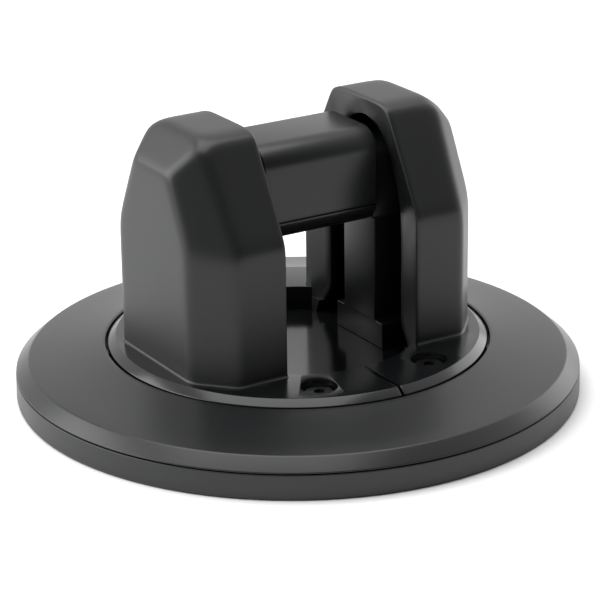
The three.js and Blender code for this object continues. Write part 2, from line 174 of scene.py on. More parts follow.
# %% [markdown]
# ## Black moulded plastic
#
# The ring, the half covers, the posts, the legs and the grip are injection-moulded glass-filled
# nylon, dyed black. The tool was spark-eroded, which leaves a fine even grain. That grain breaks up
# reflections, so the finish is satin: broad soft highlights, no sharp mirror images. Three layers
# give this look: a fine noise as bump for the grain, a larger noise that shifts the roughness a
# little where the plastic flowed, and a very weak change of colour. The ring is a little smoother
# than the posts, and the half covers are the smoothest.
#
# The real grain is about 0.1 mm, too fine to show from this distance, so it is drawn at 0.3 to
# 0.4 mm.

# %% Moulded plastic
def moulded_nylon(name, dark, light, rough_low, rough_high, grain, grain_size=0.35, ior=1.47):
    """Satin black moulding: fine spark-eroded grain and slow changes of gloss."""
    material, tree, shader = empty_material(name)
    place = millimetres(tree)
    fine = add(tree, "ShaderNodeTexNoise", Vector=place, Scale=1 / grain_size, Detail=3.0,
               Roughness=0.6)
    flow = add(tree, "ShaderNodeTexNoise", Vector=place, Scale=1 / 45, Detail=2.0,
               Roughness=0.5)
    scuff = add(tree, "ShaderNodeTexNoise", Vector=place, Scale=1 / 3.5, Detail=5.0,
                Roughness=0.7)
    tone = add(tree, "ShaderNodeMath", {"operation": "MULTIPLY"})
    tree.links.new(flow.outputs[0], tone.inputs[0])
    tree.links.new(scuff.outputs[0], tone.inputs[1])
    tree.links.new(two_tone(tree, tone.outputs[0], dark, light), shader.inputs["Base Color"])
    tree.links.new(spread(tree, flow.outputs[0], rough_low, rough_high),
                   shader.inputs["Roughness"])
    bump = add(tree, "ShaderNodeBump", Strength=grain, Distance=0.00004)
    tree.links.new(fine.outputs[0], bump.inputs["Height"])
    tree.links.new(bump.outputs["Normal"], shader.inputs["Normal"])
    shader.inputs["IOR"].default_value = ior
    return material


post_nylon = moulded_nylon("satin_moulded_nylon", "#101112", "#1c1d1e", 0.34, 0.4, 0.5)
ring_nylon = moulded_nylon("fine_moulded_nylon", "#101112", "#1b1c1d", 0.27, 0.33, 0.5, 0.4)
deck_nylon = moulded_nylon("smooth_moulded_nylon", "#0d0e0f", "#151617", 0.17, 0.21, 0.25, 0.4)
grip_nylon = moulded_nylon("grip_moulded_nylon", "#111213", "#1b1c1d", 0.29, 0.35, 0.4)
leg_nylon = moulded_nylon("leg_moulded_nylon", "#0e0f10", "#17181a", 0.3, 0.36, 0.3, ior=1.33)
print("moulded plastics:", post_nylon.name, ring_nylon.name, deck_nylon.name, grip_nylon.name,
      leg_nylon.name)

# %% [markdown]
# ## Polished plastic, rubber, slide plastic and steel
#
# The floor comes from a polished tool, so it mirrors its surroundings, dulled only by hair-fine
# scratches. The rubber skirt is matt and slightly dusty. The slide plastic of the
# ramp ring is off-white acetal, milky and smooth. The steel parts are zinc plated, or blackened
# where they show: blackening leaves a thin oily oxide, darker in the hollows.

# %% Other finishes
def polished_nylon():
    """Near-mirror black moulding with faint scratches and a trace of dust."""
    material, tree, shader = empty_material("polished_black_nylon")
    place = millimetres(tree)
    stretched = add(tree, "ShaderNodeMapping", Vector=place)
    stretched.inputs["Rotation"].default_value = (0.0, 0.0, 0.5)
    stretched.inputs["Scale"].default_value = (2.2, 0.06, 1.0)
    scratch = add(tree, "ShaderNodeTexNoise", Vector=stretched.outputs[0], Scale=1.6, Detail=6.0)
    cloud = add(tree, "ShaderNodeTexNoise", Vector=place, Scale=1 / 14, Detail=3.0)
    tree.links.new(two_tone(tree, cloud.outputs[0], "#0b0c0d", "#121314"),
                   shader.inputs["Base Color"])
    tree.links.new(spread(tree, scratch.outputs[0], 0.07, 0.2), shader.inputs["Roughness"])
    bump = add(tree, "ShaderNodeBump", Strength=0.06, Distance=0.00003)
    tree.links.new(scratch.outputs[0], bump.inputs["Height"])
    tree.links.new(bump.outputs["Normal"], shader.inputs["Normal"])
    shader.inputs["IOR"].default_value = 1.47
    return material


def seal_rubber():
    """Black EPDM rubber: matt, with a fine grain and a faint bloom."""
    material, tree, shader = empty_material("black_epdm_rubber")
    place = millimetres(tree)
    grain = add(tree, "ShaderNodeTexNoise", Vector=place, Scale=1 / 0.5, Detail=4.0)
    bloom = add(tree, "ShaderNodeTexNoise", Vector=place, Scale=1 / 22, Detail=5.0,
                Roughness=0.65)
    tree.links.new(two_tone(tree, bloom.outputs[0], "#161718", "#222325"),
                   shader.inputs["Base Color"])
    tree.links.new(spread(tree, bloom.outputs[0], 0.34, 0.48), shader.inputs["Roughness"])
    bump = add(tree, "ShaderNodeBump", Strength=0.35, Distance=0.00005)
    tree.links.new(grain.outputs[0], bump.inputs["Height"])
    tree.links.new(bump.outputs["Normal"], shader.inputs["Normal"])
    shader.inputs["IOR"].default_value = 1.51
    return material


def slide_acetal():
    """Off-white acetal: milky, with light passing a little way in."""
    material, tree, shader = empty_material("off_white_acetal")
    place = millimetres(tree)
    cloud = add(tree, "ShaderNodeTexNoise", Vector=place, Scale=1 / 9, Detail=4.0)
    tree.links.new(two_tone(tree, cloud.outputs[0], "#c9c6bb", "#dedbd1"),
                   shader.inputs["Base Color"])
    tree.links.new(spread(tree, cloud.outputs[0], 0.32, 0.46), shader.inputs["Roughness"])
    bump = add(tree, "ShaderNodeBump", Strength=0.1, Distance=0.00005)
    tree.links.new(cloud.outputs[0], bump.inputs["Height"])
    tree.links.new(bump.outputs["Normal"], shader.inputs["Normal"])
    shader.inputs["IOR"].default_value = 1.48
    return material


def plated_steel(name, dark, light, rough_low, rough_high):
    """Steel with a thin plated or oxidised skin and turning marks."""
    material, tree, shader = empty_material(name)
    place = millimetres(tree)
    marks = add(tree, "ShaderNodeTexNoise", Vector=place, Scale=1 / 0.6, Detail=5.0,
                Roughness=0.7)
    patches = add(tree, "ShaderNodeTexNoise", Vector=place, Scale=1 / 4, Detail=3.0)
    tree.links.new(two_tone(tree, patches.outputs[0], dark, light), shader.inputs["Base Color"])
    tree.links.new(spread(tree, marks.outputs[0], rough_low, rough_high),
                   shader.inputs["Roughness"])
    bump = add(tree, "ShaderNodeBump", Strength=0.15, Distance=0.00004)
    tree.links.new(marks.outputs[0], bump.inputs["Height"])
    tree.links.new(bump.outputs["Normal"], shader.inputs["Normal"])
    shader.inputs["Metallic"].default_value = 1.0
    return material


floor_nylon = polished_nylon()
rubber = seal_rubber()
acetal = slide_acetal()
zinc = plated_steel("zinc_plated_steel", "#8b9094", "#b3b7ba", 0.26, 0.42)
black_oxide = plated_steel("blackened_steel", "#2c2d30", "#46484b", 0.28, 0.45)
print("finishes:", [m.name for m in (floor_nylon, rubber, acetal, zinc, black_oxide)])

# %% [markdown]
# ## Helpers that make pieces
#
# Sizes below are in millimetres, as on a drawing, and one function turns them into metres when the
# mesh is made. `fillet` rounds the corners of a profile; `turned` spins such a profile about the
# vertical axis, which is how every round part here gets its shape.

# %% Piece helpers
MM = 0.001


def new_object(name, bm, smooth_angle=35):
    """A linked object from a bmesh in millimetres; faces out, smooth up to an angle."""
    bmesh.ops.remove_doubles(bm, verts=bm.verts, dist=1e-4)
    bmesh.ops.recalc_face_normals(bm, faces=bm.faces)
    mesh = bpy.data.meshes.new(name)
    bm.to_mesh(mesh)
    bm.free()
    mesh.transform(Matrix.Scale(MM, 4))
    made = bpy.data.objects.new(name, mesh)
    bpy.context.scene.collection.objects.link(made)
    soften(made, smooth_angle)
    return made


def soften(made, angle):
    """Smooth shading, with edges kept crisp where the surface turns by more than the angle."""
    made.data.shade_smooth()
    made.data.set_sharp_from_angle(angle=math.radians(angle))


def fit_out(made, material, slot, body, *nodes):
    """Gives a piece its finish, the body it rides on and the nodes it stands for. The slot is not
    used.
    """
    made.data.materials.clear()
    made.data.materials.append(material)
    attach(made, body)
    if nodes:
        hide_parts(*nodes)
    print(made.name, len(made.data.polygons), "faces, on", body)
    return made


def fillet(corners, steps=5):
    """Rounds a closed profile. Each corner is (across, up) or (across, up, radius)."""
    rounded = []
    count = len(corners)
    for i, corner in enumerate(corners):
        here = Vector(corner[:2])
        radius = corner[2] if len(corner) > 2 else 0
        before = Vector(corners[i - 1][:2]) - here
        after = Vector(corners[(i + 1) % count][:2]) - here
        if radius == 0:
            rounded.append(tuple(here))
            continue
        half = before.angle(after) / 2
        reach = min(radius / math.tan(half), before.length * 0.49, after.length * 0.49)
        start = here + before.normalized() * reach
        end = here + after.normalized() * reach
        for k in range(steps + 1):
            t = k / steps
            rounded.append(tuple(start.lerp(here, t).lerp(here.lerp(end, t), t)))
    return rounded


def turned(profile, segments=192):
    """A bmesh of a profile of (radius, height) pairs spun about the vertical axis."""
    bm = bmesh.new()
    rings = []
    for radius, height in profile:
        ring = []
        for k in range(segments):
            angle = 2 * math.pi * k / segments
            ring.append(bm.verts.new((radius * math.cos(angle), radius * math.sin(angle), height)))
        rings.append(ring)
    for one, two in zip(rings, rings[1:] + rings[:1]):
        for k in range(segments):
            after = (k + 1) % segments
            bm.faces.new((one[k], one[after], two[after], two[k]))
    return bm


def drawn_out(outline, start, end, axis="x"):
    """A bmesh of a closed outline drawn along an axis, from start to end."""
    bm = bmesh.new()
    ends = []
    for at in (start, end):
        if axis == "x":
            ends.append([bm.verts.new((at, a, b)) for a, b in outline])
        else:
            ends.append([bm.verts.new((a, b, at)) for a, b in outline])
    bm.faces.new(ends[0])
    bm.faces.new(ends[1])
    count = len(outline)
    for k in range(count):
        after = (k + 1) % count
        bm.faces.new((ends[0][k], ends[0][after], ends[1][after], ends[1][k]))
    return bm


def apply_modifiers(made):
    """Makes the evaluated shape the piece's own mesh and drops its modifiers."""
    graph = bpy.context.evaluated_depsgraph_get()
    shaped = bpy.data.meshes.new_from_object(made.evaluated_get(graph))
    made.modifiers.clear()
    old = made.data
    made.data = shaped
    bpy.data.meshes.remove(old)


def carve(made, cutters, operation="DIFFERENCE"):
    """Cuts solids out of a piece, or joins them to it, and removes them."""
    for cutter in cutters:
        step = made.modifiers.new("carve", "BOOLEAN")
        step.operation = operation
        step.solver = "EXACT"
        step.object = cutter
    apply_modifiers(made)
    for cutter in cutters:
        bpy.data.objects.remove(cutter)


def ease_edges(made, width, angle=50, segments=2):
    """A small round on every edge sharper than the angle."""
    step = made.modifiers.new("ease", "BEVEL")
    step.width = width * MM
    step.segments = segments
    step.limit_method = "ANGLE"
    step.angle_limit = math.radians(angle)
    step.use_clamp_overlap = True
    apply_modifiers(made)


def mirror_image(made, name):
    """A copy of a piece mirrored left to right, with its faces still outward."""
    mesh = made.data.copy()
    mesh.transform(Matrix.Diagonal((-1, 1, 1, 1)))
    mesh.flip_normals()
    copy = bpy.data.objects.new(name, mesh)
    bpy.context.scene.collection.objects.link(copy)
    return copy


def half_turn(made, name):
    """A copy of a piece turned by half a turn about the vertical axis."""
    mesh = made.data.copy()
    mesh.transform(Matrix.Rotation(math.pi, 4, "Z"))
    copy = bpy.data.objects.new(name, mesh)
    bpy.context.scene.collection.objects.link(copy)
    return copy


print("piece helpers ready")

# %% [markdown]
# ## The rubber skirt and its thin web
#
# The skirt is the wall that the cup stands on. Its outer face is almost upright and its lip is
# rounded. The web is the thin sheet that lets the middle of the diaphragm rise.

# %% Skirt and web
skirt_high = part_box("seal_skirt")[1]
cup = skirt_high.x / MM
skirt_top = skirt_high.z / MM


def seal_skirt():
    profile = fillet([
        (98.6, 0.0, 0.3), (cup - 0.5, 0.0, 0.5), (cup, 1.0, 0.6), (cup - 0.1, skirt_top, 0.4),
        (99.6, skirt_top, 0.2), (99.6, 4.4), (86.0, 4.4), (86.0, 3.0), (95.5, 2.6, 1.5),
    ])
    made = new_object("rubber_skirt", turned(profile, 256))
    return fit_out(made, rubber, "rubber", "base", "seal_skirt")


def diaphragm_web():
    profile = fillet([
        (50.4, 0.65), (62.0, 1.1, 3.0), (74.0, 2.3, 3.0), (85.7, 3.05),
        (85.7, 4.1), (74.0, 3.3, 3.0), (62.0, 2.1, 3.0), (50.4, 1.5),
    ])
    made = new_object("diaphragm_web_sheet", turned(profile, 128))
    fit_out(made, rubber, "rubber", "base", "diaphragm_web")
    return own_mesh(made)


skirt = seal_skirt()
web = diaphragm_web()

# %% [markdown]
# ## The outer ring
#
# One turned profile gives the whole ring: a bevelled shoulder outside, a broad slope that rises
# gently inwards, a soft brow where it turns steeper, and a crisp lip next to the turning centre.
# The radius of each corner matters more than its place: it sets how wide each highlight is.

# %% Outer ring
def outer_ring():
    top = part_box("outer_ring")[1].z / MM
    lip, brow, slope = Vector((71.8, top - 0.2)), Vector((79.5, 17.0)), Vector((91.0, 15.2))
    eased = []
    for k in range(15):
        t = k / 14
        eased.append(tuple(lip.lerp(brow, t).lerp(brow.lerp(slope, t), t)))
    profile = fillet([
        (70.1, 12.2), (70.1, top - 0.1, 0.35), (70.9, top, 0.5), *eased,
        (98.0, 14.1, 1.8), (102.7, 10.1, 1.8), (102.7, 9.7, 0.2), (99.0, 9.7), (99.0, 8.0),
        (94.0, 8.0), (94.0, 11.1), (84.0, 12.5), (84.0, 8.0), (78.6, 8.0), (78.6, 12.2),
    ], steps=7)
    made = new_object("sloping_outer_ring", turned(profile, 288), 30)
    return fit_out(made, ring_nylon, "moulded_shell", "base", "outer_ring")


ring = outer_ring()

# %% [markdown]
# ## The polished floor
#
# Under the round window lies the floor of the turning centre. It is polished, so it mirrors the
# legs and the light behind the cup. A turned pan is enough, because the mirror effect comes from
# the finish.

# %% Floor
def rotor_floor():
    bm = turned(fillet([
        (0.001, 9.3), (50.5, 9.3), (50.5, 13.8), (66.5, 13.8, 0.3), (66.5, 15.8, 0.3),
        (48.0, 15.8, 0.3), (48.0, 12.0, 0.6), (0.001, 12.0),
    ]), 160)
    made = new_object("polished_floor_pan", bm)
    return fit_out(made, floor_nylon, "gloss_black", "rotor", "rotor_plate")


pan = rotor_floor()

# %% [markdown]
# ## The shape of a post
#
# A post is a block cut by sloping planes, with every edge between them softly rounded. Instead of
# bevelling edges one by one, each plane is written as a number: how far a point is outside it. The
# largest of these numbers is the distance to the block. Taking a *soft* largest number instead of
# a hard one rounds all edges at once, wide where two planes meet at a flat angle and tight where
# they meet at a steep one, as moulded parts do.
#
# The mesh is then a net of points. Rays start at the foot of the post's open side and fan out over
# a quarter sphere, and each ray stops where the soft number reaches zero.

# %% Planes of a post
POST_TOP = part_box("cover_right")[1].z / MM
RIM_X = 27.0
OUTER_X = 58.9
HALF_DEPTH = 37.8
WALL = 3.0
RIM_ROUND = 0.9
DECK_TOP = 21.2
NET_FLOOR = 16.5  # height of the net's centre, hidden inside the deck
SOFT = 0.7  # mm; how soft the edges between the planes are
POST_PLANES = [
    ((1, 0, 0), OUTER_X),
    ((0, 1, 0), HALF_DEPTH),
    ((0.740, 0.673, 0), 60.0),
    ((0, 1, 0.562), 76.6),
    ((0.677, 0.644, 0.316), 77.2),
    ((1, 0, 1.024), 154.4),
    ((0, 0, 1), POST_TOP),
    ((0, 0.398, 1), 111.0),
    ((0.338, 0.436, 0.788), 104.8),
]


def plane_table():
    """Unit normals and distances, with a mirrored plane for each one that leans in Y."""
    rows = []
    for normal, distance in POST_PLANES:
        length = math.sqrt(sum(v * v for v in normal))
        unit = [v / length for v in normal]
        rows.append((*unit, distance / length))
        if unit[1]:
            rows.append((unit[0], -unit[1], unit[2], distance / length))
    return np.array(rows)


def soft_outside(points, planes, inset, softness):
    """How far points lie outside the block, with its edges rounded. Softness is in mm."""
    gap = points @ planes[:, :3].T - (planes[:, 3] - inset)
    peak = gap.max(axis=1)
    return peak + softness * np.log(np.exp((gap - peak[:, None]) / softness).sum(axis=1))


def reach(origin, directions, inset, softness):
    """Where rays from a point leave the soft block."""
    planes = plane_table()
    near = np.zeros(len(directions))
    far = np.full(len(directions), 160.0)
    for _ in range(34):
        middle = (near + far) / 2
        outside = soft_outside(origin + directions * middle[:, None], planes, inset, softness) > 0
        far = np.where(outside, middle, far)
        near = np.where(outside, near, middle)
    return origin + directions * near[:, None]


def fan(around, over):
    """Ray directions: around the open side from +Y over the top to -Y, and over towards +X."""
    return np.stack([
        np.sin(over),
        np.cos(over) * np.cos(around),
        np.cos(over) * np.sin(around),
    ], axis=-1)


def half_round(count):
    """Level rays from -Y over +X to +Y."""
    turn = np.linspace(-math.pi / 2, math.pi / 2, count)
    return np.stack([np.cos(turn), np.sin(turn), np.zeros_like(turn)], axis=1)


print("post planes:", len(plane_table()))

# %% [markdown]
# ## The net of a post
#
# The net has one column for each direction around the open side. Along a column, the points run
# from the outer wall to the rim, round the rim's edge, across the sloping band, over the lip of
# the opening, and back along the inside of the wall. So one closed net makes the whole hollow
# shell with an even wall, and no cutting is needed.

# %% Net of a post
def even(line, count, first=0.0):
    """Points spaced evenly along each polyline. Lines have shape (lines, samples, 3)."""
    step = np.linalg.norm(np.diff(line, axis=1), axis=2)
    run = np.concatenate([np.zeros((len(line), 1)), np.cumsum(step, axis=1)], axis=1)
    out = np.empty((len(line), count, 3))
    for i, (points, along) in enumerate(zip(line, run)):
        wanted = np.linspace(first * along[-1], along[-1], count)
        for axis in range(3):
            out[i, :, axis] = np.interp(wanted, along, points[:, axis])
    return out


def opening_radius(angles):
    """Distance from the net's centre to the edge of the opening, for each angle."""
    half = [
        (29.3, NET_FLOOR - 1), (28.6, NET_FLOOR), (23.9, 23.4), (23.5, 25.5), (23.5, 66.0),
        (23.0, 69.0), (18.3, 82.0), (15.6, 87.5), (12.6, 91.6), (7.6, 95.9), (0.0, 97.9),
    ]
    line = np.array(half + [(-y, z) for y, z in reversed(half[:-1])])
    bearing = np.arctan2(line[:, 1] - NET_FLOOR, line[:, 0])
    out = []
    for angle in angles:
        y, z = math.cos(angle), math.sin(angle)
        best = 10.0
        for k in range(len(line) - 1):
            a, b = line[k], line[k + 1]
            low, high = bearing[k], bearing[k + 1]
            if not low - 1e-9 <= angle <= high + 1e-9:
                continue
            along = b - a
            rise = a[1] - NET_FLOOR
            cross = y * along[1] - z * along[0]
            if abs(cross) > 1e-9:
                best = (a[0] * along[1] - rise * along[0]) / cross
        out.append(best)
    return np.array(out)


def smoothed(values, rounds):
    """Evens out neighbouring values, which rounds the corners of an outline."""
    for _ in range(rounds):
        middle = (values[:-2] + 2 * values[1:-1] + values[2:]) / 4
        values = np.concatenate([values[:1], middle, values[-1:]])
    return values


def columns(count):
    """Angles whose points lie evenly along the outline of the rim."""
    dense = np.linspace(0, math.pi, 2400)
    edge = reach(np.array([RIM_X, 0, NET_FLOOR]), fan(dense, np.zeros_like(dense)), 0, 0.7)
    step = np.linalg.norm(np.diff(edge, axis=0), axis=1)
    run = np.concatenate([[0], np.cumsum(step)])
    return np.interp(np.linspace(0, run[-1], count), run, dense)


def wall(around, start_x, inset, softness, rows):
    """Points of one side of the wall, from its open edge to the far pole."""
    over = np.linspace(0, math.pi / 2, 260)
    grid_around, grid_over = np.meshgrid(around, over, indexing="ij")
    rays = fan(grid_around.ravel(), grid_over.ravel())
    hit = reach(np.array([start_x, 0, NET_FLOOR]), rays, inset, softness)
    return even(hit.reshape(len(around), len(over), 3), rows)


def post_net(column_count=260, rows=84):
    around = columns(column_count)
    outside = wall(around, RIM_X + RIM_ROUND, 0.0, SOFT, rows)
    inside = wall(around, 31.6, WALL, 0.5, 40)

    edge = outside[:, 0, 1:]
    along = np.gradient(edge, axis=0)
    along /= np.linalg.norm(along, axis=1)[:, None]
    inward = np.stack([-along[:, 1], along[:, 0]], axis=1)
    inward *= np.sign((inward * (np.array([0, 55.0]) - edge)).sum(axis=1))[:, None]

    hole = smoothed(opening_radius(around), 14)
    hole_edge = np.stack([np.cos(around) * hole, NET_FLOOR + np.sin(around) * hole], axis=1)

    strips = [outside[:, ::-1]]
    for turn in (0.3, 0.6, 0.9):
        a = turn * math.pi / 2
        x = np.full((len(around), 1), RIM_X + RIM_ROUND * (1 - math.sin(a)))
        flat = edge + inward * RIM_ROUND * (1 - math.cos(a))
        strips.append(np.concatenate([x, flat], axis=1)[:, None])
    rim = edge + inward * 0.95
    for share in (0.0, 0.25, 0.5, 0.75, 0.96):
        x = np.full((len(around), 1), RIM_X + 2.4 * share)
        flat = rim * (1 - share) + hole_edge * share
        strips.append(np.concatenate([x, flat], axis=1)[:, None])
    for x_at in (29.75, 31.4):
        x = np.full((len(around), 1), x_at)
        strips.append(np.concatenate([x, hole_edge], axis=1)[:, None])
    strips.append(inside)
    return np.concatenate(strips, axis=1)


def net_to_bmesh(net):
    """Quads between neighbouring points, and a flat cap under each foot."""
    bm = bmesh.new()
    verts = [[bm.verts.new(p) for p in column] for column in net]
    for one, two in zip(verts, verts[1:]):
        for k in range(len(one) - 1):
            bm.faces.new((one[k], one[k + 1], two[k + 1], two[k]))
    bm.faces.new(verts[0])
    bm.faces.new(list(reversed(verts[-1])))
    return bm


def foot_blocks(bm):
    """The two stubs that carry the rim on from the deck to the polished floor."""
    for side in (1, -1):
        outline = [(29.0, 17.2), (31.0, 12.4), (31.0, 12.05), (35.6, 12.05), (35.6, 17.2)]
        block = drawn_out([(side * y, z) for y, z in outline], 27.6, 30.4)
        mesh = bpy.data.meshes.new("block")
        bmesh.ops.recalc_face_normals(block, faces=block.faces)
        block.to_mesh(mesh)
        block.free()
        bm.from_mesh(mesh)
        bpy.data.meshes.remove(mesh)


def base_bead(bm, radius=0.9):
    """The small concave fillet where a post meets its deck."""
    rays = half_round(220)
    line = reach(np.array([RIM_X + 0.3, 0, DECK_TOP]), rays, 0, SOFT)[:, :2]
    along = np.gradient(line, axis=0)
    along /= np.linalg.norm(along, axis=1)[:, None]
    outward = np.stack([along[:, 1], -along[:, 0]], axis=1)
    section = [(-0.5, -0.5), (radius, -0.5), (radius, 0.0)]
    for k in range(1, 5):
        a = k / 5 * math.pi / 2
        section.append((radius * (1 - math.sin(a)), radius * (1 - math.cos(a))))
    section += [(0.0, radius), (-0.5, radius)]
    loops = []
    for spot, out in zip(line, outward):
        loops.append([bm.verts.new((*(spot + out * a), DECK_TOP + b)) for a, b in section])
    for one, two in zip(loops, loops[1:]):
        for k in range(len(section)):
            after = (k + 1) % len(section)
            bm.faces.new((one[k], one[after], two[after], two[k]))
    bm.faces.new(loops[0])
    bm.faces.new(list(reversed(loops[-1])))


def post_shell():
    bm = net_to_bmesh(post_net())
    bmesh.ops.remove_doubles(bm, verts=bm.verts, dist=1e-4)
    base_bead(bm)
    foot_blocks(bm)
    return new_object("hollow_post_right", bm, 38)


post_right = post_shell()
post_left = half_turn(post_right, "hollow_post_left")
fit_out(post_right, post_nylon, "moulded_shell", "rotor")
fit_out(post_left, post_nylon, "moulded_shell", "rotor")

# %% [markdown]
# ## The half covers
#
# Each half cover is half of a turned disc with a round window. The halves meet at a straight gap.
# Cutting is the natural tool here, because the real part has pockets too: the screw recesses and
# the space inside the post are taken out of the disc with Booleans, and then every sharp edge gets
# a small round that catches the light.

# %% Half covers
def block(name, x, y, z):
    """A plain box as a cutting tool."""
    outline = [(y[0], z[0]), (y[1], z[0]), (y[1], z[1]), (y[0], z[1])]
    return new_object(name, drawn_out(outline, *x))


def rod_tool(name, centre, radius, low, high, sides=64):
    """A round cutting tool standing at a point."""
    outline = []
    for k in range(sides):
        a = 2 * math.pi * k / sides
        outline.append((centre[0] + radius * math.cos(a), centre[1] + radius * math.sin(a)))
    return new_object(name, drawn_out(outline, low, high, "z"))


def inside_of_post_tool():
    """The plan of the space inside a post, as a cutting tool."""
    line = reach(np.array([30.6, 0, 19.0]), half_round(60), WALL, 0.5)[:, :2]
    return new_object("tool_inside", drawn_out([tuple(p) for p in line], 10, 26, "z"))


def cover_deck():
    profile = fillet([
        (44.0, 12.3), (44.0, DECK_TOP, 0.45), (66.2, DECK_TOP, 0.5), (69.1, 19.0, 0.6),
        (69.1, 12.5), (67.2, 12.5), (67.2, 17.0), (46.3, 17.0), (46.3, 12.3),
    ], steps=4)
    made = new_object("half_cover_right", turned(profile, 240))
    tools = [block("tool_half", (-90, 0.6), (-90, 90), (0, 40)), inside_of_post_tool()]
    for number in (1, 2, 3, 4):
        low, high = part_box(f"cover_screw_{number}")
        middle = (low + high) / 2 / MM
        if middle.x > 0:
            tools.append(rod_tool("tool_recess", middle, 6.5, 17.6, 30))
    carve(made, tools)
    ease_edges(made, 0.28)
    soften(made, 35)
    return made


deck_right = cover_deck()
deck_left = mirror_image(deck_right, "half_cover_left")
fit_out(deck_right, deck_nylon, "moulded_shell", "rotor", "cover_right")
fit_out(deck_left, deck_nylon, "moulded_shell", "rotor", "cover_left")

# %% [markdown]
# ## The legs
#
# A leg is a column on a wider foot, like a T upside down. Its outline is drawn once from the side,
# with small rounds in its corners, and pulled along the grip's direction.

# %% Legs
def leg():
    low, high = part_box("leg_right")
    top = high.z / MM
    outline = fillet([
        (-15.4, 12.05), (15.4, 12.05), (15.4, 21.8, 0.9), (10.2, 21.8, 0.8), (10.2, top, 0.3),
        (-10.2, top, 0.3), (-10.2, 21.8, 0.8), (-15.4, 21.8, 0.9),
    ], steps=4)
    made = new_object("leg_column_right", drawn_out(outline, low.x / MM, high.x / MM))
    ease_edges(made, 0.7, 60, 3)
    soften(made, 30)
    return made


leg_right = leg()
leg_left = half_turn(leg_right, "leg_column_left")
fit_out(leg_right, leg_nylon, "gloss_black", "rotor", "leg_right")
fit_out(leg_left, leg_nylon, "gloss_black", "rotor", "leg_left")

# %% [markdown]
# ## The grip and the bar inside it
#
# The grip is a sleeve in two halves around a bar. Its section is a square with wide round corners,
# because a hand closes around it. The halves meet in a fine line low on the front. The bar itself
# shows only as a dark neck between the grip's end and each post.

# %% Grip and bar
def grip_section():
    """The outline of the whole grip: a square with wide round corners."""
    deep, bottom, top, corner = 17.8, 62.3, 97.4, 8.4
    rim = []
    for centre_y, centre_z, start in (
        (deep - corner, bottom + corner, -90), (deep - corner, top - corner, 0),
        (corner - deep, top - corner, 90), (corner - deep, bottom + corner, 180),
    ):
        for k in range(13):
            a = math.radians(start + 90 * k / 12)
            rim.append((centre_y + corner * math.cos(a), centre_z + corner * math.sin(a)))
    return rim


def grip_half(name, low, high):
    made = new_object(name, drawn_out(grip_section(), -23.4, 23.4))
    ease_edges(made, 1.0, 60, 3)
    room = block("tool_room", (-40, 40), (-13.9, 13.9), (65.7, 88.3))
    below = block("tool_below", (-60, 60), (-60, 60), (0, low))
    above = block("tool_above", (-60, 60), (-60, 60), (high, 200))
    carve(made, [room, below, above])
    ease_edges(made, 0.2, 60, 2)
    soften(made, 30)
    return made


def crossbar():
    low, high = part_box("crossbar")
    outline = fillet([
        (-13.6, 62.3, 1.2), (13.6, 62.3, 1.2), (13.6, 88.0, 2.5), (-13.6, 88.0, 2.5),
    ])
    made = new_object("bar_through_grip", drawn_out(outline, low.x / MM, high.x / MM))
    step = block("tool_step", (-24.2, 24.2), (-30, 30), (50, 66.0))
    carve(made, [step])
    ease_edges(made, 0.5, 60, 2)
    soften(made, 30)
    return fit_out(made, post_nylon, "gloss_black", "rotor", "crossbar")


grip_top = grip_half("grip_upper_half", 69.75, 120)
grip_bottom = grip_half("grip_lower_half", 40, 69.45)
fit_out(grip_top, grip_nylon, "moulded_shell", "rotor", "grip_upper")
fit_out(grip_bottom, grip_nylon, "moulded_shell", "rotor", "grip_lower")
bar = crossbar()

# %% [markdown]
# ## The cover screws
#
# Four identical socket screws sit in the recesses. Repeated parts suit Geometry Nodes: the tree
# makes one screw from its sizes, cuts the hexagonal socket, and puts a copy on every point of the
# mesh that it is given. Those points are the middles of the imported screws. Its inputs are the real
# sizes, so another pattern needs no new code.

